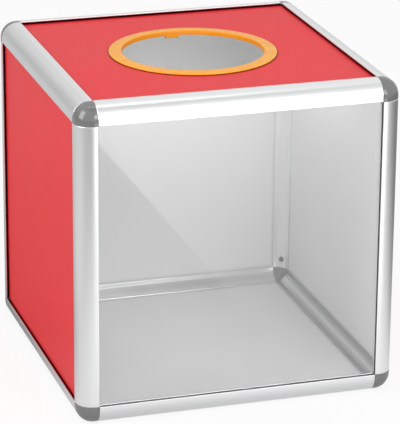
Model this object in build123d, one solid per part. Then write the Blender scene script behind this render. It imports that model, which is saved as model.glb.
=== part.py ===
from build123d import *
import math
import os

# A cube-shaped ballot box: twelve aluminium edge rails with slots for the panels, eight plastic
# corner connectors, five opaque boards, a clear front window, and a plastic ring that snaps into
# a round hand hole in the top. Millimetres. The origin is at the middle of the underside,
# +Z is up and the window faces -Y.

# Overall size
box_width = 300.0
box_depth = 300.0
box_height = 300.0

# Rail section, measured in from the two outer faces that the rail joins
rail_face = 18.5
lip_land = 3.0
lip_wall = 1.2
lip_tip_bevel = 0.45
slot_free_gap = 2.0
panel_thickness = 3.0
inner_lip_wall = 1.1
channel_shoulder = 5.2
web_step = 1.9
web_wall = 1.2
panel_edge_clearance = 0.4

# Corner connector
pocket_clearance = 0.3
arm_length = 25.0
arm_clearance = 0.5
arm_rib_height = 0.35
arm_rib_width = 1.0
arm_tip_length = 3.0
arm_tip_taper = 0.4
arm_slot_length = 10.0

# Screws
screw_from_rail_end = 9.0
screw_head_diameter = 5.6
screw_head_height = 1.7
screw_shank_diameter = 2.9
screw_shank_length = 6.0
screw_pilot_clearance = 0.08
screw_hole_clearance = 0.3
screw_pilot_extra_depth = 0.5

# Hand hole and its ring
ring_opening_diameter = 131.6
ring_wall = 2.2
ring_flange_width = 9.9
ring_flange_thickness = 2.0
ring_edge_bevel = 0.7
ring_mouth_bevel = 1.0
ring_skirt_short_of_panel = 0.5
ring_hole_clearance = 0.5
hook_width = 12.4
hook_reach = 1.6
hook_catch_clearance = 0.1
hook_height = 1.8
hook_root_height = 0.7
hook_count = 3

# Overrun of every cutting tool past the face that it leaves
cut_overrun = 2.0

# Places that follow from the sizes above, all measured in from an outer face
outer_radius = rail_face - lip_land
skin_radius = outer_radius - lip_wall
panel_outer = lip_wall + slot_free_gap
panel_inner = panel_outer + panel_thickness
inner_lip_inner = panel_inner + inner_lip_wall
slot_floor = inner_lip_inner + channel_shoulder
channel_side = slot_floor - inner_lip_wall
web_end = slot_floor + web_step
web_sum = inner_lip_inner + web_end
channel_web_end = web_end - web_wall * math.sqrt(2)
panel_edge = slot_floor + panel_edge_clearance

X_DIR = Vector(1, 0, 0)
Y_DIR = Vector(0, 1, 0)
Z_DIR = Vector(0, 0, 1)
centre = Vector(0, 0, box_height / 2)


def skin_height(along):
    """Depth of the skin's inner arc below the outer face, at a distance in from the edge."""
    return outer_radius - math.sqrt(skin_radius**2 - (outer_radius - along) ** 2)


def arc_middle(radius):
    """Middle of the quarter arc that rounds the section's corner, on the section's diagonal."""
    place = outer_radius - radius / math.sqrt(2)
    return (place, place)


def rail_section():
    """The extrusion's section: rounded skin, two panel slots, a diagonal web and one channel."""
    skin = skin_height(slot_floor)
    bevel = lip_tip_bevel
    outline = [
        ThreePointArc((outer_radius, 0), arc_middle(outer_radius), (0, outer_radius)),
        Polyline(
            (0, outer_radius),
            (0, rail_face - bevel),
            (bevel, rail_face),
            (lip_wall, rail_face),
            (lip_wall, outer_radius),
        ),
        RadiusArc((lip_wall, outer_radius), (skin, slot_floor), -skin_radius),
        Polyline(
            (skin, slot_floor),
            (panel_inner, slot_floor),
            (panel_inner, rail_face),
            (inner_lip_inner, rail_face),
            (inner_lip_inner, web_end),
            (web_end, inner_lip_inner),
            (rail_face, inner_lip_inner),
            (rail_face, panel_inner),
            (slot_floor, panel_inner),
            (slot_floor, skin),
        ),
        RadiusArc((slot_floor, skin), (outer_radius, lip_wall), -skin_radius),
        Polyline(
            (outer_radius, lip_wall),
            (rail_face, lip_wall),
            (rail_face, bevel),
            (rail_face - bevel, 0),
            (outer_radius, 0),
        ),
    ]
    return make_face(Curve() + outline) - channel_section()


def channel_section():
    """The hollow of the extrusion that takes a connector's arm."""
    skin = skin_height(channel_side)
    near = inner_lip_inner
    web = channel_web_end
    side = channel_side
    outline = [
        Polyline((side, skin), (side, near), (web, near), (near, web), (near, side), (skin, side)),
        ThreePointArc((skin, side), arc_middle(skin_radius), (side, skin)),
    ]
    return make_face(Curve() + outline)


def section_plane(origin, in_a, in_b):
    """Plane whose local x and y run in from the two outer faces, at one end of a rail."""
    return Plane(origin=origin, x_dir=in_a, z_dir=in_a.cross(in_b))


def rail_planes():
    """Name, start plane and length of each rail, and whether screws hold it: only the posts."""
    half = Vector(box_width / 2, box_depth / 2, box_height / 2)
    x_length = box_width - 2 * rail_face
    y_length = box_depth - 2 * rail_face
    z_length = box_height - 2 * rail_face
    places = []
    for z_name, z_sign in (("bottom", -1), ("top", 1)):
        for y_name, y_sign in (("front", -1), ("back", 1)):
            places.append((f"{z_name}_{y_name}_rail", (0, y_sign, z_sign), x_length))
        for x_name, x_sign in (("left", -1), ("right", 1)):
            places.append((f"{z_name}_{x_name}_rail", (x_sign, 0, z_sign), y_length))
    for y_name, y_sign in (("front", -1), ("back", 1)):
        for x_name, x_sign in (("left", -1), ("right", 1)):
            places.append((f"{y_name}_{x_name}_post", (x_sign, y_sign, 0), z_length))
    result = []
    for name, signs, length in places:
        inward = [-axis * sign for axis, sign in zip((X_DIR, Y_DIR, Z_DIR), signs) if sign]
        middle = centre + Vector(half.X * signs[0], half.Y * signs[1], half.Z * signs[2])
        along = inward[0].cross(inward[1])
        start = middle - along * (length / 2)
        result.append((name, section_plane(start, *inward), length, name.endswith("post")))
    return result


def screw_planes(plane, length):
    """Planes on the diagonal web near both ends of a rail, with local z into the box."""
    seat = web_sum / 2
    result = []
    for along in (screw_from_rail_end, length - screw_from_rail_end):
        origin = plane.from_local_coords(Vector(seat, seat, along))
        inward = (plane.x_dir + plane.y_dir).normalized()
        result.append(Plane(origin=origin, x_dir=plane.z_dir, z_dir=inward))
    return result


def make_rail(plane, length, screwed):
    """One extruded rail, cut square; an upright one has a screw hole in its web near each end."""
    rail = extrude(plane * rail_section(), amount=length)
    hole_radius = screw_shank_diameter / 2 + screw_hole_clearance
    for seat in screw_planes(plane, length) if screwed else []:
        rail -= seat * Pos(0, 0, -web_wall / 2) * Cylinder(hole_radius, 2 * web_wall)
    return rail


def cap_block():
    """The connector's cap: a cube rounded over its outer corner, with a pocket for each panel."""
    block = Box(rail_face, rail_face, rail_face, align=Align.MIN)
    outer_edges = [edge for edge in block.edges() if edge.center().length < rail_face]
    block = fillet(outer_edges, outer_radius)
    opening = rail_face - slot_floor + cut_overrun
    depth = panel_thickness + pocket_clearance
    corner = (slot_floor, slot_floor, panel_inner - depth)
    pocket = Pos(*corner) * Box(opening, opening, depth, align=Align.MIN)
    for turn in (0, 1, 2):
        block -= turn_axes(pocket, turn)
    return block - cap_hollow()


def turn_axes(shape, times):
    """Turn a shape about the cube's diagonal, so that x, y and z change places."""
    return shape.rotate(Axis((0, 0, 0), (1, 1, 1)), times * 120)


def cap_hollow():
    """The inside of the box where it meets the cap: three planes that carry on the rails' webs."""
    reach = rail_face + cut_overrun
    size = reach - inner_lip_inner
    near = (inner_lip_inner, inner_lip_inner, inner_lip_inner)
    hollow = Pos(*near) * Box(size, size, size, align=Align.MIN)
    corner = Polyline((reach, web_sum - reach), (reach, reach), (web_sum - reach, reach), close=True)
    prism = extrude(make_face(corner), amount=reach)
    for turn in (0, 1, 2):
        hollow &= turn_axes(prism, turn)
    return hollow


def arm_section():
    """An arm's section: it follows the channel's walls and has a crush rib on each slot side."""
    side = channel_side - arm_clearance
    near = inner_lip_inner + arm_clearance
    web = channel_web_end - arm_clearance * (1 + math.sqrt(2))
    radius = skin_radius - arm_clearance
    skin = outer_radius - math.sqrt(radius**2 - (outer_radius - side) ** 2)
    low, high = (skin + near - arm_rib_width) / 2, (skin + near + arm_rib_width) / 2
    rib = [(side, low), (side + arm_rib_height, (low + high) / 2), (side, high)]
    half = [(side, skin), *rib, (side, near), (web, near)]
    mirrored = [(y, x) for x, y in reversed(half)]
    return make_face(Polyline(*half, *mirrored, arc_middle(radius), close=True))


def make_arm():
    """One arm along +z; its two ribbed sides slope in at the tip, so that it enters the channel."""
    arm = extrude(Pos(0, 0, rail_face) * arm_section(), amount=arm_length)
    side = channel_side - arm_clearance
    slope_start = (side, side, rail_face + arm_length - arm_tip_length)
    for outward in (X_DIR, Y_DIR):
        normal = outward * arm_tip_length + Z_DIR * arm_tip_taper
        arm = split(arm, Plane(slope_start, z_dir=normal), keep=Keep.BOTTOM)
    return arm


def screw_slot():
    """The slot in the upright arm that the screw's thread bites into."""
    seat = web_sum / 2
    inward = (X_DIR + Y_DIR).normalized()
    plane = Plane((seat, seat, rail_face + screw_from_rail_end), x_dir=Z_DIR, z_dir=inward)
    depth = screw_shank_length + screw_pilot_extra_depth
    width = screw_shank_diameter + 2 * screw_pilot_clearance
    return plane * Box(arm_slot_length, width, depth, align=(Align.CENTER, Align.CENTER, Align.MAX))


def make_connector():
    """A moulded corner with three arms, at the origin and reaching along +x, +y and +z."""
    connector = cap_block()
    arm = make_arm()
    for turn in (0, 1, 2):
        connector += turn_axes(arm, turn)
    return connector - screw_slot()


def corner_plane(x_sign, y_sign, z_sign):
    """Plane of one corner; two axes change places where the corner is left-handed."""
    corner = Vector(x_sign * box_width, y_sign * box_depth, z_sign * box_height) / 2
    right_handed = x_sign * y_sign * z_sign < 0
    x_dir = X_DIR * -x_sign if right_handed else Y_DIR * -y_sign
    return Plane(origin=centre + corner, x_dir=x_dir, z_dir=Z_DIR * -z_sign)


def connector_places():
    """Name of each post's two connectors, and the planes of its bottom and its top one."""
    result = []
    for y_name, y_sign in (("front", -1), ("back", 1)):
        for x_name, x_sign in (("left", -1), ("right", 1)):
            planes = [corner_plane(x_sign, y_sign, z_sign) for z_sign in (-1, 1)]
            result.append((f"{y_name}_{x_name}_corners", planes))
    return result


def make_screw():
    """A screw with its seat at the origin, its head along +z and its shank along -z."""
    bottom = (Align.CENTER, Align.CENTER, Align.MIN)
    top = (Align.CENTER, Align.CENTER, Align.MAX)
    head = Cylinder(screw_head_diameter / 2, screw_head_height, align=bottom)
    return head + Cylinder(screw_shank_diameter / 2, screw_shank_length, align=top)


def make_screws():
    """All the screws, one in each end of each post, as a group of separate solids."""
    screw = make_screw()
    posts = [(plane, length) for _, plane, length, screwed in rail_planes() if screwed]
    return Compound([seat * screw for post in posts for seat in screw_planes(*post)])


def make_board(width, height):
    """A flat board cut square, from its inner face at z = 0 outward."""
    return Box(width, height, panel_thickness, align=(Align.CENTER, Align.CENTER, Align.MIN))


def panel_planes():
    """Name, plane of the inner face and size of each panel."""
    depth = panel_inner
    wide = box_width - 2 * panel_edge
    deep = box_depth - 2 * panel_edge
    tall = box_height - 2 * panel_edge
    left = centre - X_DIR * (box_width / 2 - depth)
    right = centre + X_DIR * (box_width / 2 - depth)
    front = centre - Y_DIR * (box_depth / 2 - depth)
    back = centre + Y_DIR * (box_depth / 2 - depth)
    floor = Vector(0, 0, depth)
    roof = Vector(0, 0, box_height - depth)
    return [
        ("left_panel", Plane(left, x_dir=Y_DIR, z_dir=-X_DIR), deep, tall),
        ("right_panel", Plane(right, x_dir=Y_DIR, z_dir=X_DIR), deep, tall),
        ("front_window", Plane(front, x_dir=X_DIR, z_dir=-Y_DIR), wide, tall),
        ("back_panel", Plane(back, x_dir=X_DIR, z_dir=Y_DIR), wide, tall),
        ("floor_panel", Plane(floor, x_dir=X_DIR, z_dir=-Z_DIR), wide, deep),
        ("top_panel", Plane(roof, x_dir=X_DIR, z_dir=Z_DIR), wide, deep),
    ]


def ring_sizes():
    """Inner and outer radius of the ring's skirt, and the radius of the hole that it fits."""
    inner = ring_opening_diameter / 2
    outer = inner + ring_wall
    return inner, outer, outer + ring_hole_clearance


def make_ring():
    """The hand hole's ring: a bevelled flange on the top board, a short skirt and snap hooks."""
    inner, outer, hole = ring_sizes()
    board_top = box_height - panel_outer
    board_bottom = box_height - panel_inner
    flange_top = board_top + ring_flange_thickness
    skirt_end = board_bottom + ring_skirt_short_of_panel
    rim = outer + ring_flange_width
    section = Plane.XZ * make_face(
        Polyline(
            (inner, skirt_end),
            (outer, skirt_end),
            (outer, board_top),
            (rim, board_top),
            (rim, flange_top),
            (inner, flange_top),
            close=True,
        )
    )
    section = chamfer(section.vertices().group_by(Axis.Z)[-1].sort_by(Axis.X)[0], ring_mouth_bevel)
    section = chamfer(section.vertices().group_by(Axis.Z)[-1].sort_by(Axis.X)[-1], ring_edge_bevel)
    ring = revolve(section, Axis.Z)
    catch = board_bottom - hook_catch_clearance
    hook_end = catch - hook_height
    hook_tip = hole + hook_reach - ring_hole_clearance
    hook_section = Plane.XZ * make_face(
        Polyline(
            (inner, skirt_end),
            (outer, skirt_end),
            (outer, catch),
            (hook_tip, catch),
            (hook_tip, catch - hook_root_height),
            (outer, hook_end),
            (inner, hook_end),
            close=True,
        )
    )
    hook_angle = math.degrees(2 * math.asin(hook_width / 2 / inner))
    hook = revolve(hook_section, Axis.Z, hook_angle)
    for number in range(hook_count):
        middle = 90 + number * 360 / hook_count
        ring += Rot(0, 0, middle - hook_angle / 2) * hook
    return ring


def save(shape, name):
    """Write one piece, or one group of like pieces, under its own name."""
    shape.label = name
    export_step(shape, f"parts/{name}.step")


def main():
    os.makedirs("parts", exist_ok=True)
    for name, plane, length, screwed in rail_planes():
        save(make_rail(plane, length, screwed), name)
    connector = make_connector()
    for name, planes in connector_places():
        save(Compound([plane * connector for plane in planes]), name)
    _, _, hole_radius = ring_sizes()
    for name, plane, width, height in panel_planes():
        board = make_board(width, height)
        if name == "top_panel":
            board -= Cylinder(hole_radius, panel_thickness + 2 * cut_overrun)
        save(plane * board, name)
    save(make_ring(), "hole_ring")
    save(make_screws(), "corner_screws")


main()
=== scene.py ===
import bpy
import math
from mathutils import Matrix, Vector
from mathutils.geometry import tessellate_polygon


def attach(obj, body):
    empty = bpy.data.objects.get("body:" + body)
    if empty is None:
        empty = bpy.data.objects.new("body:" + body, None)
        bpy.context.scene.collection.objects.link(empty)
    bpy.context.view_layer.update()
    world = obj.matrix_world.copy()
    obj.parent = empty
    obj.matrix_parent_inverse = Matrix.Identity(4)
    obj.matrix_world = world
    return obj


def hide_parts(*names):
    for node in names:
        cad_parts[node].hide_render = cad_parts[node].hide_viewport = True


# A cube-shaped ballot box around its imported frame. The sizes of its pieces are written in
# millimetres and made metres by MM; materials and the studio are in metres. The origin is under
# the middle of the box, +Z is up and the window faces -Y.

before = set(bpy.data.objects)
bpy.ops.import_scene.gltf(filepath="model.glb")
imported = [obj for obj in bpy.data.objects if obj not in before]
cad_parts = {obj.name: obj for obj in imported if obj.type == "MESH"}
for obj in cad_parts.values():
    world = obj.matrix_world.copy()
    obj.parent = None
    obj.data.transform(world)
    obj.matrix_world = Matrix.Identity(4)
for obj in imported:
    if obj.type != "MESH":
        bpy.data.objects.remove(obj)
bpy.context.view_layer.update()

MM = 0.001
BODY = "root"

# Sizes that the CAD solids have, repeated here for the pieces that replace them
BOX = 300.0
RAIL_FACE = 18.5
OUTER_RADIUS = 15.5
LIP_WALL = 1.2
SKIN_RADIUS = OUTER_RADIUS - LIP_WALL
PANEL_INNER = 6.2
INNER_LIP_INNER = 7.3
SLOT_FLOOR = 12.5
CHANNEL_SIDE = 11.4
WEB_END = 14.4
WEB_SUM = INNER_LIP_INNER + WEB_END
WEB_WALL = 1.2
CHANNEL_WEB_END = WEB_END - WEB_WALL * math.sqrt(2)
SCREW_FROM_END = 9.0
HEAD_RADIUS = 2.8
HEAD_HEIGHT = 1.7
SHANK_RADIUS = 1.45
SHANK_LENGTH = 6.0
RING_INNER = 65.8
RING_SKIRT = 68.0
RING_RIM = 77.9
FLANGE_TOP = 298.8
BOARD_TOP = 296.8
SKIRT_END = 294.3
HOOK_CATCH = 293.7
HOOK_END = 291.9
HOOK_TIP = 69.6
HOOK_WIDTH = 12.4

# Small rounds that the visible meshes have where the solids have bevels or sharp edges
LIP_ROUND = 0.45
LIP_INNER_ROUND = 0.3
EDGE_ROUND = 0.25
INNER_TIP_ROUND = 0.5
END_ROUND = 0.8
MOULD_ROUND = 0.3

# Edges that turn by more degrees than these stay sharp
RAIL_SHARP = 30
RING_SHARP = 40
SCREW_SHARP = 35


# Mesh helpers

def new_piece(name, points, faces, skin, nodes, sharp):
    """A mesh piece from millimetre points, which rides on the body and stands for CAD nodes."""
    mesh = bpy.data.meshes.new(name)
    mesh.from_pydata([tuple(c * MM for c in p) for p in points], [], faces)
    mesh.validate()
    for face in mesh.polygons:
        face.use_smooth = True
    mesh.set_sharp_from_angle(angle=math.radians(sharp))
    piece = bpy.data.objects.new(name, mesh)
    bpy.context.scene.collection.objects.link(piece)
    weighted = piece.modifiers.new("even_normals", "WEIGHTED_NORMAL")
    weighted.keep_sharp = True
    mesh.materials.append(skin)
    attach(piece, BODY)
    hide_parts(*nodes)
    return piece


def arc(centre, radius, start, end, steps):
    """Points on an arc in a plane, from one angle to another in degrees, both ends included."""
    turns = [math.radians(start + (end - start) * i / steps) for i in range(steps + 1)]
    return [(centre[0] + radius * math.cos(t), centre[1] + radius * math.sin(t)) for t in turns]


def rounded(corners, steps):
    """A closed outline whose corners (x, y, radius) are rounded where the radius isn't zero."""
    outline = []
    count = len(corners)
    for i, (x, y, radius) in enumerate(corners):
        here = Vector((x, y))
        if not radius:
            outline.append((x, y))
            continue
        before = (Vector(corners[i - 1][:2]) - here).normalized()
        after = (Vector(corners[(i + 1) % count][:2]) - here).normalized()
        half = before.angle(after) / 2
        reach = radius / math.tan(half)
        middle = here + (before + after).normalized() * (radius / math.sin(half))
        first = here + before * reach - middle
        last = here + after * reach - middle
        turn = first.angle_signed(last)
        for k in range(steps + 1):
            spoke = Matrix.Rotation(-turn * k / steps, 2) @ first
            outline.append(tuple(middle + spoke))
    return outline


def swept(rings):
    """Quads between equal rings of point numbers."""
    faces = []
    count = len(rings[0])
    for low, high in zip(rings, rings[1:]):
        for i in range(count):
            j = (i + 1) % count
            faces.append((low[i], low[j], high[j], high[i]))
    return faces


def turned_round(rings):
    """The same rings with their points in the other order, so that the swept faces turn over."""
    return [ring[::-1] for ring in rings]


def next_ring(points, count):
    """The numbers of the next points, as many as asked for."""
    return list(range(len(points), len(points) + count))


# Node helpers

NOISE_SPREAD = (0.3, 0.7)


class Nodes:
    """Short ways to add and link the nodes of one material or world."""

    def __init__(self, tree):
        self.tree = tree
        tree.nodes.clear()

    def add(self, kind, **settings):
        node = self.tree.nodes.new("ShaderNode" + kind)
        for name, value in settings.items():
            setattr(node, name, value)
        return node

    def put(self, socket, value):
        if isinstance(value, bpy.types.NodeSocket):
            self.tree.links.new(value, socket)
        elif value is not None:
            socket.default_value = value

    def maths(self, operation, a, b=None):
        node = self.add("Math", operation=operation)
        self.put(node.inputs[0], a)
        self.put(node.inputs[1], b)
        return node.outputs[0]

    def chain(self, operation, first, *others):
        """One operation over several values, from left to right."""
        for other in others:
            first = self.maths(operation, first, other)
        return first

    def total(self, *values):
        return self.chain("ADD", *values)

    def product(self, *values):
        return self.chain("MULTIPLY", *values)

    def largest(self, *values):
        return self.chain("MAXIMUM", *values)

    def smallest(self, *values):
        return self.chain("MINIMUM", *values)

    def place(self):
        return self.add("TexCoord").outputs["Object"]

    def split(self, vector):
        """The x, y and z of a vector."""
        parts = self.add("SeparateXYZ")
        self.put(parts.inputs[0], vector)
        return tuple(parts.outputs)

    def scaled(self, scale):
        node = self.add("Mapping")
        self.put(node.inputs["Vector"], self.place())
        node.inputs["Scale"].default_value = scale
        return node.outputs["Vector"]

    def noise(self, vector, scale, detail, roughness):
        node = self.add("TexNoise")
        self.put(node.inputs["Vector"], vector)
        node.inputs["Scale"].default_value = scale
        node.inputs["Detail"].default_value = detail
        node.inputs["Roughness"].default_value = roughness
        return node.outputs["Fac"]

    def ranged(self, value, low, high, new_low, new_high):
        """The value carried from one range to another, and held at the new range's ends."""
        node = self.add("MapRange")
        names = ("From Min", "From Max", "To Min", "To Max")
        for name, number in zip(names, (low, high, new_low, new_high)):
            self.put(node.inputs[name], number)
        self.put(node.inputs["Value"], value)
        return node.outputs["Result"]

    def varied(self, noise, low, high):
        """Most of a noise's values, spread between two others."""
        return self.ranged(noise, *NOISE_SPREAD, low, high)

    def either(self, mask, where_zero, where_one):
        return self.ranged(mask, 0.0, 1.0, where_zero, where_one)

    def distance(self, vector, point):
        node = self.add("VectorMath", operation="DISTANCE")
        self.put(node.inputs[0], vector)
        node.inputs[1].default_value = point
        return node.outputs["Value"]

    def sizes(self):
        """How far the shaded point lies from the box's middle, along each axis."""
        offset = self.add("VectorMath", operation="SUBTRACT")
        self.put(offset.inputs[0], self.place())
        offset.inputs[1].default_value = (0, 0, BOX / 2 * MM)
        size = self.add("VectorMath", operation="ABSOLUTE")
        self.put(size.inputs[0], offset.outputs[0])
        return self.split(size.outputs[0])

    def from_axis(self):
        """How far the shaded point lies from the upright axis through the hand hole."""
        return self.distance(self.scaled((1.0, 1.0, 0.0)), (0.0, 0.0, 0.0))

    def blend(self, factor, a, b):
        node = self.add("Mix", data_type="RGBA")
        self.put(node.inputs["Factor"], factor)
        self.put(node.inputs["A"], a)
        self.put(node.inputs["B"], b)
        return node.outputs["Result"]

    def bump(self, height, depth, strength, normal=None):
        node = self.add("Bump")
        node.inputs["Strength"].default_value = strength
        node.inputs["Distance"].default_value = depth
        self.put(node.inputs["Height"], height)
        self.put(node.inputs["Normal"], normal)
        return node.outputs["Normal"]

    def shader(self, **sockets):
        node = self.add("BsdfPrincipled")
        for name, value in sockets.items():
            self.put(node.inputs[name.replace("_", " ")], value)
        return node.outputs["BSDF"]

    def mixed(self, factor, a, b):
        node = self.add("MixShader")
        self.put(node.inputs["Fac"], factor)
        self.put(node.inputs[1], a)
        self.put(node.inputs[2], b)
        return node.outputs[0]

    def clear(self, colour):
        node = self.add("BsdfTransparent")
        node.inputs["Color"].default_value = colour
        return node.outputs[0]

    def glow(self, strength):
        node = self.add("Emission")
        self.put(node.inputs["Strength"], strength)
        return node.outputs[0]

    def finish(self, surface):
        is_world = isinstance(self.tree.id_data, bpy.types.World)
        output = self.add("OutputWorld" if is_world else "OutputMaterial")
        self.put(output.inputs["Surface"], surface)


def material(name):
    made = bpy.data.materials.new(name)
    made.use_nodes = True
    return made, Nodes(made.node_tree)


def grey(value):
    return (value, value, value, 1.0)


WHITE = grey(1.0)
BLACK = grey(0.0)

# The values of the materials. A noise has a scale, a detail and a roughness, a bump has a depth
# in metres and a strength, and a fade has its start, its end and the value at each of them. A fade
# by place starts and ends at distances from the box's middle, in metres.

# Faces nearer to the middle than this look into the box
INNER_DEPTH = 143.7 * MM

# Aluminium. Faces inside the box have painted tones against the outside: painted shade where a tone
# is under 1, painted light where it is over 1. The table of inner tones has the lips' tone, the
# web's tone and the lips' fade for the rails along x, y and z. The lips' tone runs onto the web in
# full as far as the fade's first number, in millimetres, and is gone at its second.
METAL = (0.964, 0.97, 0.975, 1.0)
OUTER_TONE = 0.892
LIP_DEPTH = BOX / 2 - WEB_END
LIP_FADE = (0.0, 2.4)
SIDE_LIP_FADE = (1.3, 3.05)
PAINTED_INNER_TONES = ((1.02, 0.9, LIP_FADE), (0.66, 0.89, SIDE_LIP_FADE), (1.1, 1.12, LIP_FADE))
BRUSH_ALONG, BRUSH_ACROSS = 3.0, 900.0
BRUSH_NOISE = (1.0, 4.0, 0.65)
BRUSH_TONE = (0.975, 1.015)
BRUSH_ROUGH = (0.31, 0.37)
BRUSH_BUMP = (0.00001, 0.2)
DIE_ALONG, DIE_ACROSS = 0.9, 170.0
DIE_NOISE = (1.0, 2.0, 0.5)
DIE_TONE = (0.98, 1.01)
DIE_BUMP = (0.00002, 0.2)
METAL_CLOUDS = (22.0, 3.0, 0.6)
METAL_CLOUD_ROUGH = (-0.02, 0.02)

# Boards. Faces farther from the middle than RED_DEPTH are red.
RED_DEPTH = 146.5 * MM
RED_DARK = (0.80, 0.018, 0.026, 1.0)
RED_LIGHT = (0.85, 0.026, 0.034, 1.0)
# Painted contact shadow around the ring, on the red film
RED_PAINTED_RING_SHADOW = (0.16, 0.002, 0.002, 1.0)
# Painted shade in the slots and beside the lips, on the red film
RED_PAINTED_SLOT_SHADE = (0.006, 0.002, 0.002, 1.0)
PALE_DARK = grey(0.90)
PALE_LIGHT = grey(0.93)
# Painted shade on the pale film beside the rails' inner lips
PALE_PAINTED_RAIL_SHADE = grey(0.2)
SPECK = grey(0.6)
SPECK_FADE = (0.62, 0.75, 0.0, 0.06)
# By how far a point lies from its board's middle, towards the nearest edge
LIP_SHADE = (0.1306, 0.1319, 1.0, 0.3)
SLOT_SHADE = (0.1315, 0.135, 1.0, 0.1)
RAIL_SHADE = (0.1272, 0.1313, 0.0, 0.55)
# By how far it lies from the hole's axis
RING_SHADE = (RING_RIM * MM, 79.7 * MM, 0.0, 1.0)
FILM_GRAIN = (1100.0, 3.0, 0.6)
FILM_CLOUDS = (9.0, 4.0, 0.55)
FILM_SPECKS = (260.0, 2.0, 0.5)
FILM_ROUGH = (0.4, 0.52)
FILM_CLOUD_ROUGH = (-0.03, 0.03)
FILM_GRAIN_BUMP = (0.00001, 0.15)
FILM_CLOUD_BUMP = (0.0004, 0.15)
FILM_SPECULAR = 0.3

# Plastics
FLOW_NOISE = (45.0, 3.0, 0.55)
FLOW_ROUGH = (-0.02, 0.02)
FLOW_BUMP = (0.0002, 0.25)
MOULD_DETAIL = (2.0, 0.5)
MOULD_BUMP = (0.00002, 0.2)
HOLE_WALL = 66.3 * MM

# Clear sheet
ACRYLIC_TINT = (0.985, 0.99, 0.99, 1.0)
ACRYLIC_IOR = 1.49
ACRYLIC_SHADOW = grey(0.95)
HAZE_NOISE = (14.0, 3.0, 0.6)
HAZE_ROUGH = (0.35, 0.75, 0.0, 0.03)
HAZE_BUMP = (0.00003, 0.15)

# Slots: painted shade, a near-black colour on the faces of the gap beside a board
SLOT_SHADE_NOISE = (300.0, 3.0, 0.6)
SLOT_SHADE_DARK = grey(0.015)
SLOT_SHADE_LIGHT = grey(0.035)
SLOT_SHADE_ROUGH = (0.75, 0.9)

# Screws
WEAR_NOISE = (900.0, 4.0, 0.65)
WEAR_FADE = (0.55, 0.75, 0.0, 1.0)
STEEL_DARK = (0.26, 0.26, 0.263, 1.0)
STEEL_WORN = (0.45, 0.45, 0.46, 1.0)
STEEL_ROUGH = (0.32, 0.52)
STEEL_BUMP = (0.00003, 0.3)


# Materials

def stretched(axis, along, across):
    """A noise's scale that is one number along an axis and another across it."""
    scale = [across] * 3
    scale[axis] = along
    return scale


def aluminium(axis, painted_lip_tone, painted_web_tone, lip_fade):
    """Satin anodised extrusion: fine lines run along the rail, with faint die marks and clouds.

    The painted tones make the inner lips and the web between them darker or lighter than the
    outside: painted shade and painted light.
    """
    made, n = material("aluminium_" + "xyz"[axis])
    lines = n.noise(n.scaled(stretched(axis, BRUSH_ALONG, BRUSH_ACROSS)), *BRUSH_NOISE)
    die_marks = n.noise(n.scaled(stretched(axis, DIE_ALONG, DIE_ACROSS)), *DIE_NOISE)
    clouds = n.noise(n.place(), *METAL_CLOUDS)
    sizes = n.sizes()
    spans = [sizes[i] for i in range(3) if i != axis]
    fade = [(LIP_DEPTH + reach) * MM for reach in lip_fade]
    on_lip = n.ranged(n.smallest(*spans), *fade, 1.0, 0.0)
    inside = n.maths("LESS_THAN", n.largest(*spans), INNER_DEPTH)
    # Painted shade or painted light on the faces inside the box, by the inner tones
    tone = n.either(inside, 1.0, n.either(on_lip, painted_web_tone, painted_lip_tone))
    marks = n.product(n.varied(lines, *BRUSH_TONE), n.varied(die_marks, *DIE_TONE))
    colour = n.blend(n.product(marks, n.product(tone, OUTER_TONE)), BLACK, METAL)
    rough = n.total(n.varied(lines, *BRUSH_ROUGH), n.varied(clouds, *METAL_CLOUD_ROUGH))
    normal = n.bump(lines, *BRUSH_BUMP, n.bump(die_marks, *DIE_BUMP))
    n.finish(n.shader(Base_Color=colour, Metallic=1.0, Roughness=rough, Normal=normal))
    return made


def board():
    """Laminated board: a red film with a fine leathery grain outside, a pale grey one inside.

    Both films carry painted shade: darker colour in the slots and beside the lips, a painted
    contact shadow at the ring and painted shade by the rails.
    """
    made, n = material("board_film")
    sizes = n.sizes()
    farthest = n.largest(*sizes)
    to_edge = n.chain("SUBTRACT", n.total(*sizes), farthest, n.smallest(*sizes))
    grain = n.noise(n.place(), *FILM_GRAIN)
    clouds = n.noise(n.place(), *FILM_CLOUDS)
    specks = n.noise(n.place(), *FILM_SPECKS)
    cloudy = n.varied(clouds, 0.0, 1.0)
    # Painted shade: the pale film by the rails, and the red beside the lips, in the slots and
    # around the ring
    painted_rail_shade = n.ranged(to_edge, *RAIL_SHADE)
    pale = n.blend(cloudy, PALE_DARK, PALE_LIGHT)
    pale = n.blend(n.ranged(specks, *SPECK_FADE), pale, SPECK)
    pale = n.blend(n.product(painted_rail_shade, painted_rail_shade), pale, PALE_PAINTED_RAIL_SHADE)
    red_unshaded_share = n.product(n.ranged(to_edge, *LIP_SHADE), n.ranged(to_edge, *SLOT_SHADE))
    red = n.blend(cloudy, RED_DARK, RED_LIGHT)
    red = n.blend(n.ranged(n.from_axis(), *RING_SHADE), RED_PAINTED_RING_SHADOW, red)
    red = n.blend(red_unshaded_share, RED_PAINTED_SLOT_SHADE, red)
    colour = n.blend(n.maths("GREATER_THAN", farthest, RED_DEPTH), pale, red)
    rough = n.total(n.varied(grain, *FILM_ROUGH), n.varied(clouds, *FILM_CLOUD_ROUGH))
    normal = n.bump(grain, *FILM_GRAIN_BUMP, n.bump(clouds, *FILM_CLOUD_BUMP))
    n.finish(n.shader(
        Base_Color=colour, Roughness=rough, Normal=normal, Specular_IOR_Level=FILM_SPECULAR,
    ))
    return made


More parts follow.
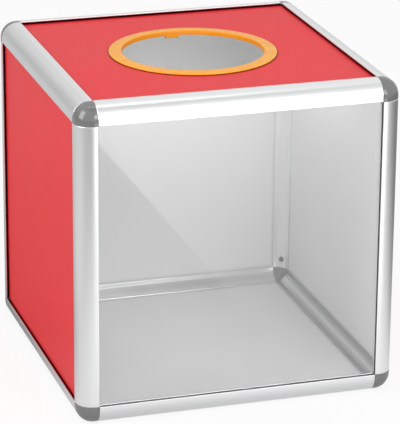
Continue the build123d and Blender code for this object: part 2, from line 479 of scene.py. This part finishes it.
def plastic(name, dark, light, rough_range, grain_scale, specular, painted_inner_look):
    """Moulded plastic: slight flow marks in the colour, and a gloss that varies a little.

    The painted inner look is a colour painted on some faces as painted light or shade, a mask of
    the faces that have it, and how much duller they are.
    """
    painted_inner_colour, mask, duller = painted_inner_look
    made, n = material(name)
    flow = n.noise(n.place(), *FLOW_NOISE)
    grain = n.noise(n.place(), grain_scale, *MOULD_DETAIL)
    inner = mask(n)
    colour = n.blend(inner, n.blend(n.varied(flow, 0.0, 1.0), dark, light), painted_inner_colour)
    rough = n.total(
        n.varied(grain, *rough_range), n.varied(flow, *FLOW_ROUGH), n.either(inner, 0.0, duller),
    )
    normal = n.bump(grain, *MOULD_BUMP, n.bump(flow, *FLOW_BUMP))
    n.finish(n.shader(
        Base_Color=colour, Roughness=rough, Normal=normal, Specular_IOR_Level=specular,
    ))
    return made


def looks_into_box(n):
    return n.maths("LESS_THAN", n.largest(*n.sizes()), INNER_DEPTH)


def lines_the_hole(n):
    return n.maths("LESS_THAN", n.from_axis(), HOLE_WALL)


def acrylic():
    """Clear cast sheet with the faintest haze; lamp light and diffuse light pass straight on."""
    made, n = material("clear_acrylic")
    haze = n.noise(n.place(), *HAZE_NOISE)
    glass = n.shader(
        Base_Color=ACRYLIC_TINT,
        Roughness=n.ranged(haze, *HAZE_ROUGH),
        IOR=ACRYLIC_IOR,
        Transmission_Weight=1.0,
        Normal=n.bump(haze, *HAZE_BUMP),
    )
    path = n.add("LightPath").outputs
    passes = n.largest(path["Is Shadow Ray"], path["Is Diffuse Ray"])
    n.finish(n.mixed(passes, glass, n.clear(ACRYLIC_SHADOW)))
    return made


def slot_shade():
    """Painted shade: the unpolished inside of the slot beside a board, coloured near black."""
    made, n = material("slot_shade")
    slot_noise = n.noise(n.place(), *SLOT_SHADE_NOISE)
    colour = n.blend(n.varied(slot_noise, 0.0, 1.0), SLOT_SHADE_DARK, SLOT_SHADE_LIGHT)
    n.finish(n.shader(Base_Color=colour, Roughness=n.varied(slot_noise, *SLOT_SHADE_ROUGH)))
    return made


def dark_steel():
    """Blackened steel screw: dull in the hollows, with small bare spots where the driver rubs."""
    made, n = material("dark_steel")
    wear = n.noise(n.place(), *WEAR_NOISE)
    colour = n.blend(n.ranged(wear, *WEAR_FADE), STEEL_DARK, STEEL_WORN)
    rough = n.varied(wear, *STEEL_ROUGH)
    normal = n.bump(wear, *STEEL_BUMP)
    n.finish(n.shader(Base_Color=colour, Metallic=1.0, Roughness=rough, Normal=normal))
    return made


metals = [aluminium(axis, *tones) for axis, tones in enumerate(PAINTED_INNER_TONES)]
film = board()
grey_plastic = plastic(
    "grey_plastic",
    dark=grey(0.158),
    light=grey(0.185),
    rough_range=(0.09, 0.16),
    grain_scale=1400.0,
    specular=0.8,
    # Painted light: the corners' faces inside the box are a lighter grey
    painted_inner_look=(grey(0.32), looks_into_box, 0.3),
)
orange_plastic = plastic(
    "orange_plastic",
    dark=(0.97, 0.385, 0.002, 1.0),
    light=(1.0, 0.42, 0.004, 1.0),
    rough_range=(0.22, 0.34),
    grain_scale=1200.0,
    specular=0.4,
    # Painted shade: the wall that lines the hole is a deeper orange
    painted_inner_look=((0.95, 0.305, 0.0, 1.0), lines_the_hole, 0.1),
)
clear = acrylic()
steel = dark_steel()
shade = slot_shade()


# Rails

RAIL_LENGTH = BOX - 2 * RAIL_FACE
ROUND_STEPS = 4
SKIN_STEPS = 22
SLOT_STEPS = 3
CHANNEL_STEPS = 12
END_TURNS = (30, 60, 90)

# Slack when a face's place is compared with the section
NARROW = 0.1


def rail_outline():
    """The extrusion's outer contour, with fine arcs and rounded lips, and its hollow channel."""
    middle = (OUTER_RADIUS, OUTER_RADIUS)
    slot_angle = math.degrees(math.asin((OUTER_RADIUS - SLOT_FLOOR) / SKIN_RADIUS))
    channel_angle = math.degrees(math.asin((OUTER_RADIUS - CHANNEL_SIDE) / SKIN_RADIUS))
    into_slot = arc(middle, SKIN_RADIUS, 180, 180 + slot_angle, SLOT_STEPS)
    out_of_slot = arc(middle, SKIN_RADIUS, 270 - slot_angle, 270, SLOT_STEPS)
    tip = [(0, RAIL_FACE, LIP_ROUND), (LIP_WALL, RAIL_FACE, LIP_INNER_ROUND)]
    inner_tip = [(x, RAIL_FACE, INNER_TIP_ROUND) for x in (PANEL_INNER, INNER_LIP_INNER)]
    corners = [
        *((x, y, 0) for x, y in arc(middle, OUTER_RADIUS, 270, 180, SKIN_STEPS)),
        *tip,
        *((x, y, 0) for x, y in into_slot),
        (PANEL_INNER, SLOT_FLOOR, 0),
        *inner_tip,
        (INNER_LIP_INNER, WEB_END, EDGE_ROUND),
        (WEB_END, INNER_LIP_INNER, EDGE_ROUND),
        *((y, x, radius) for x, y, radius in reversed(inner_tip)),
        (SLOT_FLOOR, PANEL_INNER, 0),
        *((x, y, 0) for x, y in out_of_slot),
        *((y, x, radius) for x, y, radius in reversed(tip)),
    ]
    channel = [
        (CHANNEL_SIDE, INNER_LIP_INNER),
        (CHANNEL_WEB_END, INNER_LIP_INNER),
        (INNER_LIP_INNER, CHANNEL_WEB_END),
        (INNER_LIP_INNER, CHANNEL_SIDE),
        *arc(middle, SKIN_RADIUS, 180 + channel_angle, 270 - channel_angle, CHANNEL_STEPS),
    ]
    return rounded(corners, ROUND_STEPS), channel


def skin_depth(x, y):
    """How far a point of the section lies under the rail's outer surface."""
    if x < OUTER_RADIUS and y < OUTER_RADIUS:
        return OUTER_RADIUS - math.hypot(OUTER_RADIUS - x, OUTER_RADIUS - y)
    return min(x, y)


def sunk(point, depth):
    """A point of the section moved in from the outer surface, less the deeper it already lies."""
    x, y = point
    share = max(0.0, 1 - skin_depth(x, y) / LIP_WALL)
    inward = Vector((max(OUTER_RADIUS - x, 0), max(OUTER_RADIUS - y, 0)))
    if not share or not inward.length:
        return point
    moved = Vector(point) + inward.normalized() * depth * share
    return tuple(moved)


def rail_places():
    """Name, start, the two directions in from the outer faces, direction along and axis number."""
    sides = (("left", -1), ("right", 1))
    ends = (("front", -1), ("back", 1))
    places = []
    for z_name, z_sign in (("bottom", -1), ("top", 1)):
        for y_name, y_sign in ends:
            places.append((f"{z_name}_{y_name}_rail", (0, y_sign, z_sign)))
        for x_name, x_sign in sides:
            places.append((f"{z_name}_{x_name}_rail", (x_sign, 0, z_sign)))
    for y_name, y_sign in ends:
        for x_name, x_sign in sides:
            places.append((f"{y_name}_{x_name}_post", (x_sign, y_sign, 0)))
    result = []
    for name, signs in places:
        axes = [Vector([float(i == k) for i in range(3)]) for k in range(3)]
        inward = [axis * -sign for axis, sign in zip(axes, signs) if sign]
        along = inward[0].cross(inward[1])
        middle = Vector((0, 0, BOX / 2)) + Vector(signs) * (BOX / 2)
        start = middle - along * (BOX / 2 - RAIL_FACE)
        result.append((name, start, inward[0], inward[1], along, signs.index(0)))
    return result


def shade_slots(mesh, start, in_a, in_b):
    """Give the gap beside an opaque board the painted slot shade.

    The gap beside the window, whose depth is measured inwards along +Y, stays bright.
    """
    mesh.materials.append(shade)
    for face in mesh.polygons:
        place = face.center / MM - start
        spans = (place.dot(in_a), place.dot(in_b))
        for depth, across, way in ((*spans, in_a), (*spans[::-1], in_b)):
            beside_board = LIP_WALL - NARROW < depth < PANEL_INNER - NARROW
            under_lip = SLOT_FLOOR - NARROW < across < RAIL_FACE - LIP_INNER_ROUND
            by_window = way.y > 0
            if beside_board and under_lip and not by_window:
                face.material_index = 1


def build_rails():
    outline, channel = rail_outline()
    flat = [[Vector((x, y, 0)) for x, y in loop] for loop in (outline, channel)]
    end_faces = tessellate_polygon(flat)
    ends = [(0, END_ROUND)]
    for angle in map(math.radians, END_TURNS):
        ends.append((END_ROUND * (1 - math.cos(angle)), END_ROUND * (1 - math.sin(angle))))
    stations = ends + [(RAIL_LENGTH - along, depth) for along, depth in reversed(ends)]
    for name, start, in_a, in_b, direction, axis in rail_places():
        points, outer_rings, inner_rings = [], [], []
        for along, depth in stations:
            for loop, rings in ((outline, outer_rings), (channel, inner_rings)):
                rings.append(next_ring(points, len(loop)))
                for point in loop:
                    x, y = sunk(point, depth) if loop is outline and depth else point
                    points.append(start + in_a * x + in_b * y + direction * along)
        faces = swept(turned_round(outer_rings)) + swept(turned_round(inner_rings))
        first = outer_rings[0] + inner_rings[0]
        last = outer_rings[-1] + inner_rings[-1]
        for a, b, c in end_faces:
            faces.append((first[a], first[b], first[c]))
            faces.append((last[c], last[b], last[a]))
        piece = new_piece(name + "_skin", points, faces, metals[axis], [name], RAIL_SHARP)
        shade_slots(piece.data, start, in_a, in_b)


build_rails()


# Hand hole ring. An arc has its first and last angle in degrees and its steps.

RING_STEPS = 160
MOUTH_ROUND = 1.3
MOUTH_ARC = (165, 90, 6)
CROWN_STEPS = 9
CROWN_FALL = 0.8
RIM_ROUND = 0.45
RIM_ARC = (84, -90, 12)
RIM_OVERHANG = 1.2
FOOT_SLOPE = 0.1
SKIRT_LAND = 1.0
HOOK_STEPS = 12
HOOK_COUNT = 3
HOOK_ROUND_STEPS = 3
HOOK_MOUTH_ROUND = 0.4
HOOK_BACK_ROUND = 0.3
HOOK_CATCH_ROUND = 0.25
HOOK_TIP_LAND = 0.7
HOOK_ROOT = 0.1


def lathe(outline, steps):
    """Points and faces of a closed outline (radius, height) turned round the z axis."""
    points, rings = [], []
    for k in range(steps):
        turn = 2 * math.pi * k / steps
        rings.append(next_ring(points, len(outline)))
        points += [(r * math.cos(turn), r * math.sin(turn), z) for r, z in outline]
    return points, swept(rings + [rings[0]])


def ring_outline():
    """The ring's section: a skirt through the board and a crowned flange over it."""
    mouth_top = FLANGE_TOP - MOUTH_ROUND
    crown_start = RING_INNER + MOUTH_ROUND
    crown_end = RING_RIM - RIM_ROUND
    rim_top = FLANGE_TOP - CROWN_FALL
    foot = RING_RIM - RIM_OVERHANG
    outline = [(RING_INNER, z) for z in (SKIRT_END + EDGE_ROUND, SKIRT_END + SKIRT_LAND, mouth_top)]
    outline += arc((crown_start, mouth_top), MOUTH_ROUND, *MOUTH_ARC)
    for i in range(1, CROWN_STEPS):
        share = i / CROWN_STEPS
        radius = crown_start + (crown_end - crown_start) * share
        outline.append((radius, FLANGE_TOP - CROWN_FALL * share**2))
    outline += arc((crown_end, rim_top - RIM_ROUND), RIM_ROUND, *RIM_ARC)
    outline += [
        (foot, rim_top - 2 * RIM_ROUND),
        (foot - FOOT_SLOPE, BOARD_TOP),
        (RING_SKIRT, BOARD_TOP),
        (RING_SKIRT, SKIRT_END + EDGE_ROUND),
        (RING_SKIRT - EDGE_ROUND, SKIRT_END),
        (RING_INNER + EDGE_ROUND, SKIRT_END),
    ]
    return outline


def build_ring():
    points, faces = lathe(ring_outline(), RING_STEPS)
    hook = rounded([
        (RING_INNER, SKIRT_END + SKIRT_LAND, 0),
        (RING_INNER, HOOK_END, HOOK_MOUTH_ROUND),
        (RING_SKIRT, HOOK_END, HOOK_BACK_ROUND),
        (HOOK_TIP, HOOK_CATCH - HOOK_TIP_LAND, HOOK_BACK_ROUND),
        (HOOK_TIP, HOOK_CATCH, HOOK_CATCH_ROUND),
        (RING_SKIRT - HOOK_ROOT, HOOK_CATCH, 0),
        (RING_SKIRT - HOOK_ROOT, SKIRT_END + SKIRT_LAND, 0),
    ], HOOK_ROUND_STEPS)
    half_turn = math.asin(HOOK_WIDTH / 2 / RING_INNER)
    caps = tessellate_polygon([[Vector((r, z, 0)) for r, z in hook]])
    for number in range(HOOK_COUNT):
        middle = math.pi / 2 + number * 2 * math.pi / HOOK_COUNT
        rings = []
        for k in range(HOOK_STEPS + 1):
            turn = middle + half_turn * (2 * k / HOOK_STEPS - 1)
            rings.append(next_ring(points, len(hook)))
            points += [(r * math.cos(turn), r * math.sin(turn), z) for r, z in hook]
        faces += swept(turned_round(rings))
        faces += [(rings[0][a], rings[0][b], rings[0][c]) for a, b, c in caps]
        faces += [(rings[-1][c], rings[-1][b], rings[-1][a]) for a, b, c in caps]
    new_piece("snap_ring", points, faces, orange_plastic, ["hole_ring"], RING_SHARP)


build_ring()


# Screws

HEAD_SPOKES = 72
HEAD_STEPS = (
    0.12, 0.3, 0.42, 0.58, 0.8, 1.0, 1.2, 1.36, 1.47, 1.58, 1.8, 2.05, 2.3, 2.5, 2.64, 2.74, 2.8,
)
DOME_POWER = 3.2
RECESS_HALF_WIDTH = 0.42
RECESS_REACH = 1.55
RECESS_DEPTH = 1.0
RECESS_EDGE = 0.16
RECESS_RISE = 0.55
POINT_LENGTH = 1.0
POINT_SHARE = 0.25


def head_height(x, y):
    """Height of the domed head over its seat, with a cross-shaped driver recess."""
    radius = min(math.hypot(x, y) / HEAD_RADIUS, 1.0)
    dome = HEAD_HEIGHT * (1 - radius**DOME_POWER) ** (1 / DOME_POWER)
    across, along = sorted((abs(x), abs(y)))
    side = (RECESS_HALF_WIDTH - across) / RECESS_EDGE
    end = (RECESS_REACH - along) / RECESS_EDGE
    inside = max(0.0, min(side, end, 1.0))
    smooth = inside * inside * (3 - 2 * inside)
    slope = 1 - RECESS_RISE * min(along / RECESS_REACH, 1.0)
    return dome - RECESS_DEPTH * slope * smooth


def build_screws():
    profile = [(radius, None) for radius in HEAD_STEPS]
    profile += [
        (HEAD_RADIUS, 0.0),
        (SHANK_RADIUS, 0.0),
        (SHANK_RADIUS, POINT_LENGTH - SHANK_LENGTH),
        (SHANK_RADIUS * POINT_SHARE, -SHANK_LENGTH),
    ]
    points, faces = [], []
    for _, start, in_a, in_b, direction, axis in rail_places():
        if axis != 2:
            continue
        outward = (in_a + in_b).normalized()
        side = outward.cross(direction)
        for along in (SCREW_FROM_END, RAIL_LENGTH - SCREW_FROM_END):
            seat = start + (in_a + in_b) * (WEB_SUM / 2) + direction * along
            top = len(points)
            points.append(seat + outward * head_height(0, 0))
            rings = []
            for radius, height in profile:
                rings.append(next_ring(points, HEAD_SPOKES))
                for k in range(HEAD_SPOKES):
                    turn = 2 * math.pi * k / HEAD_SPOKES
                    x, y = radius * math.cos(turn), radius * math.sin(turn)
                    z = head_height(x, y) if height is None else height
                    points.append(seat + direction * x + side * y + outward * z)
            for k in range(HEAD_SPOKES):
                faces.append((top, rings[0][k], rings[0][(k + 1) % HEAD_SPOKES]))
            faces += swept(turned_round(rings))
            faces.append(tuple(rings[-1][::-1]))
    new_piece("web_screws", points, faces, steel, ["corner_screws"], SCREW_SHARP)


build_screws()


# CAD nodes that stay

WELD_REACH = 0.002
BEVEL_SEGMENTS = 3
BEVEL_FROM_ANGLE = 35


def dress(name, skin):
    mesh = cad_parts[name].data
    mesh.materials.clear()
    mesh.materials.append(skin)


def soften(name, radius):
    """Round a CAD node's sharp edges by modifiers, with normals even on its flat faces."""
    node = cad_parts[name]
    node.modifiers.new("joined", "WELD").merge_threshold = WELD_REACH * MM
    bevel = node.modifiers.new("rounds", "BEVEL")
    bevel.width = radius * MM
    bevel.segments = BEVEL_SEGMENTS
    bevel.limit_method = "ANGLE"
    bevel.angle_limit = math.radians(BEVEL_FROM_ANGLE)
    node.modifiers.new("even_normals", "WEIGHTED_NORMAL").keep_sharp = True


for name in ("left_panel", "right_panel", "back_panel", "floor_panel", "top_panel"):
    dress(name, film)
dress("front_window", clear)
for y_name in ("front", "back"):
    for x_name in ("left", "right"):
        name = f"{y_name}_{x_name}_corners"
        dress(name, grey_plastic)
        soften(name, MOULD_ROUND)


# Camera, as solved from the photo's corner points: angles in degrees, lengths in millimetres

CAMERA_AZIMUTH = -17.506
CAMERA_ELEVATION = 19.589
CAMERA_ROLL = 0.468
CAMERA_ASIDE = -7.732
CAMERA_ABOVE = 9.791
CAMERA_DISTANCE = 2485.308
FOCAL_PIXELS = 2638.6
LONG_SIDE_PIXELS = 424
SENSOR_WIDTH = 36


def facing(azimuth, elevation):
    """The direction out from the box at angles in degrees; azimuth 0 is its front."""
    a, e = math.radians(azimuth), math.radians(elevation)
    return Vector((math.sin(a) * math.cos(e), -math.cos(a) * math.cos(e), math.sin(e)))


def solved_camera():
    """The camera that the photo was taken with."""
    back = facing(CAMERA_AZIMUTH, CAMERA_ELEVATION)
    azimuth, roll = math.radians(CAMERA_AZIMUTH), math.radians(CAMERA_ROLL)
    right = Vector((math.cos(azimuth), math.sin(azimuth), 0))
    up = back.cross(right)
    rolled_right = right * math.cos(roll) + up * math.sin(roll)
    rolled_up = up * math.cos(roll) - right * math.sin(roll)
    place = Vector((0, 0, BOX / 2)) - rolled_right * CAMERA_ASIDE - rolled_up * CAMERA_ABOVE
    place += back * CAMERA_DISTANCE
    data = bpy.data.cameras.new("photo_camera")
    data.sensor_width = SENSOR_WIDTH
    data.lens = FOCAL_PIXELS / LONG_SIDE_PIXELS * SENSOR_WIDTH
    camera = bpy.data.objects.new("photo_camera", data)
    turned = Matrix((rolled_right, rolled_up, back)).transposed().to_4x4()
    camera.matrix_world = Matrix.Translation(place * MM) @ turned
    bpy.context.scene.collection.objects.link(camera)
    bpy.context.scene.camera = camera


solved_camera()


# Studio. Lengths are in metres, and a fade has its start, its end and the value at each of them.

FLOOR_RADIUS = 8.0
FLOOR_SIDES = 64
FLOOR_DROP = 0.0003
FLOOR_LIT = grey(0.8)
FLOOR_SEEN = grey(0.97)
FLOOR_GLOW_SHARE = 0.85
# Painted shadow: mirrors see the floor darker near the box
MIRRORED_SHADOW_FADE = (0.0, 0.04, 0.74, 1.0)

# How bright mirrors see the floor: a ground level by x, two pools and two far strips
GROUND_BY_X = (0.15, 0.45, 0.2, 0.08)
LEFT_POOL = (-0.75, 0.0, 0.0)
LEFT_POOL_FADE = (0.3, 1.05, 0.50, 0.0)
LEFT_POOL_LOSS_BY_X = (-0.42, -0.17, 0.0, 0.8)
LEFT_POOL_LOSS_BY_Y = (-0.12, 0.1, 0.0, 1.0)
FRONT_POOL = (0.21, -0.5, 0.0)
FRONT_POOL_FADE = (0.3, 0.7, 0.7, 0.0)
FRONT_POOL_BY_Y = (-0.42, -0.65, 1.0, 0.42)
FRONT_POOL_SLANT = 0.6
FRONT_POOL_BY_SLANT = (0.15, 0.4, 1.0, 0.6)
FAR_FRONT_BY_Y = (-1.05, -1.3, 0.0, 0.85)
FAR_FRONT_BY_X = (-0.1, 0.2, 0.0, 1.0)
FAR_BACK_BY_Y = (0.5, 0.9, 0.0, 0.75)
FAR_BACK_BY_X = (-0.2, 0.1, 0.55, 1.0)

# The glare card lies before the window and leans to the right the farther it reaches
CARD_HALF_WIDTH = 0.138
CARD_LEFT_SLANT = 0.265
CARD_RIGHT_SLANT = 0.41
CARD_START = -0.2
CARD_END = -1.2
CARD_GLOW = 5.0
CARD_CURVE = 1.6
GLARE_EDGE = 0.082
GLARE_LEFT_SHARE = 0.31

# The world by the direction's parts, and the level at which it lights the object
FILL_LIGHT = 0.69
BACK_BY_HEIGHT = (0.1, 0.6, 0.47, 0.92)
BACK_MORE_BY_X = (0.05, 0.28, 0.0, 0.21)
BACK_MOST = 0.92
FRONT_BY_HEIGHT = (0.0, 0.2, 0.8, 0.96)
FRONT_SHARE_BY_Y = (0.12, -0.12, 0.0, 1.0)
GAP_MIDDLE = (0.0, -0.17, 0.985)
GAP_FADE = (0.14, 0.44, 1.0, 0.0)
GAP_LEVEL = 0.3

# Blender spreads an area lamp's watts over four times its area
WATTS_PER_RADIANCE = 4

# Lamps: azimuth and elevation in degrees, distance, width, height and radiance, and the setting
# that is switched off to hide a lamp from mirrors, or from the surfaces that it would light
LAMPS = (
    ("left_box", (-76, 25, 1.6, 0.55, 0.55, 3.9), "visible_glossy"),
    ("left_mirror_box", (-76, 31, 1.6, 0.85, 1.15, 2.7), "visible_diffuse"),
    ("top_strip", (90, 89, 1.5, 0.05, 0.75, 6.5), None),
    ("front_wall", (-2, 31, 2.2, 2.2, 1.5, 1.3), "visible_glossy"),
    ("front_mirror_box", (17, 24, 2.4, 0.6, 1.0, 4.0), "visible_diffuse"),
)


def seen(n, path):
    """1 for camera, glossy and transmission rays, 0 for the rays that light the object."""
    return n.largest(path["Is Camera Ray"], path["Is Glossy Ray"], path["Is Transmission Ray"])


def flat_mesh(name, corners, skin):
    mesh = bpy.data.meshes.new(name)
    mesh.from_pydata(corners, [], [tuple(range(len(corners)))])
    mesh.materials.append(skin)
    plane = bpy.data.objects.new(name, mesh)
    bpy.context.scene.collection.objects.link(plane)
    return plane


def mirrored_floor(n):
    """How bright mirrors see the floor: painted pools of light on a dark ground, with a painted
    shadow beside the box.
    """
    place = n.place()
    x, y = n.split(place)[:2]
    loss = n.product(n.ranged(x, *LEFT_POOL_LOSS_BY_X), n.ranged(y, *LEFT_POOL_LOSS_BY_Y))
    left_pool = n.ranged(n.distance(place, LEFT_POOL), *LEFT_POOL_FADE)
    left_pool = n.product(left_pool, n.maths("SUBTRACT", 1.0, loss))
    slanted = n.total(x, n.product(y, FRONT_POOL_SLANT))
    front_pool = n.product(
        n.ranged(n.distance(place, FRONT_POOL), *FRONT_POOL_FADE),
        n.ranged(y, *FRONT_POOL_BY_Y),
        n.ranged(slanted, *FRONT_POOL_BY_SLANT),
    )
    far_front = n.product(n.ranged(y, *FAR_FRONT_BY_Y), n.ranged(x, *FAR_FRONT_BY_X))
    far_back = n.product(n.ranged(y, *FAR_BACK_BY_Y), n.ranged(x, *FAR_BACK_BY_X))
    ground = n.ranged(x, *GROUND_BY_X)
    pools = n.total(front_pool, left_pool, far_back, ground, far_front)
    from_middle = n.largest(n.maths("ABSOLUTE", x), n.maths("ABSOLUTE", y))
    from_box = n.maths("SUBTRACT", from_middle, BOX / 2 * MM)
    return n.product(pools, n.ranged(from_box, *MIRRORED_SHADOW_FADE))


def build_floor():
    """A pale floor: the camera sees it white with a soft shadow, mirrors see it dark with pools."""
    made, n = material("pale_floor")
    path = n.add("LightPath").outputs
    shown = seen(n, path)
    lit = n.add("BsdfDiffuse")
    n.put(lit.inputs["Color"], n.blend(shown, FLOOR_LIT, FLOOR_SEEN))
    glow = n.glow(n.either(path["Is Glossy Ray"], 1.0, mirrored_floor(n)))
    n.finish(n.mixed(n.product(shown, FLOOR_GLOW_SHARE), lit.outputs[0], glow))
    rim = []
    for k in range(FLOOR_SIDES):
        turn = 2 * math.pi * k / FLOOR_SIDES
        rim.append((FLOOR_RADIUS * math.cos(turn), FLOOR_RADIUS * math.sin(turn), -FLOOR_DROP))
    flat_mesh("floor", rim, made)


def build_card():
    """A glow over the floor that only mirrors see: it makes the photo's glare on the window."""
    made, n = material("glare_card")
    x, y = n.split(n.place())[:2]
    side = n.either(n.maths("GREATER_THAN", x, GLARE_EDGE), GLARE_LEFT_SHARE, 1.0)
    ramp = n.maths("POWER", n.ranged(y, CARD_START, CARD_END, 0.0, 1.0), CARD_CURVE)
    both = n.add("AddShader")
    n.put(both.inputs[0], n.clear(WHITE))
    n.put(both.inputs[1], n.glow(n.product(ramp, CARD_GLOW, side)))
    n.finish(both.outputs[0])
    corners = []
    for sign, slant, reach in (
        (-1, CARD_LEFT_SLANT, CARD_END),
        (1, CARD_RIGHT_SLANT, CARD_END),
        (1, CARD_RIGHT_SLANT, CARD_START),
        (-1, CARD_LEFT_SLANT, CARD_START),
    ):
        away = -BOX / 2 * MM - reach
        corners.append((sign * CARD_HALF_WIDTH + away * slant, reach, 0.0))
    card = flat_mesh("glare_card", corners, made)
    card.visible_camera = False
    card.visible_diffuse = False
    card.visible_volume_scatter = False
    card.visible_shadow = False


def build_world():
    """Even white light, which mirrors see as a bright front, a dark gap above and a soft back."""
    world = bpy.data.worlds.new("studio")
    world.use_nodes = True
    n = Nodes(world.node_tree)
    path = n.add("LightPath").outputs
    direction = n.add("TexCoord").outputs["Generated"]
    x, y, z = n.split(direction)
    behind = n.total(n.ranged(z, *BACK_BY_HEIGHT), n.ranged(x, *BACK_MORE_BY_X))
    behind = n.smallest(behind, BACK_MOST)
    front = n.ranged(z, *FRONT_BY_HEIGHT)
    around = n.either(n.ranged(y, *FRONT_SHARE_BY_Y), behind, front)
    gap = n.ranged(n.distance(direction, GAP_MIDDLE), *GAP_FADE)
    mirrored = n.either(gap, around, GAP_LEVEL)
    plain = n.either(seen(n, path), FILL_LIGHT, 1.0)
    back = n.add("Background")
    back.inputs["Color"].default_value = WHITE
    n.put(back.inputs["Strength"], n.either(path["Is Glossy Ray"], plain, mirrored))
    n.finish(back.outputs[0])
    bpy.context.scene.world = world


def softbox(name, azimuth, elevation, distance, width, height, radiance):
    """An area lamp of an even brightness, turned to the middle of the box."""
    data = bpy.data.lights.new(name, "AREA")
    data.shape = "RECTANGLE"
    data.size, data.size_y = width, height
    data.energy = radiance * WATTS_PER_RADIANCE * width * height
    lamp = bpy.data.objects.new(name, data)
    back = facing(azimuth, elevation)
    lamp.location = Vector((0, 0, BOX / 2 * MM)) + back * distance
    lamp.rotation_mode = "QUATERNION"
    lamp.rotation_quaternion = (-back).to_track_quat("-Z", "Y")
    lamp.visible_camera = False
    bpy.context.scene.collection.objects.link(lamp)
    return lamp


build_floor()
build_card()
build_world()
for name, numbers, setting in LAMPS:
    lamp = softbox(name, *numbers)
    if setting:
        setattr(lamp, setting, False)

scene = bpy.context.scene
scene.view_settings.view_transform = "Standard"
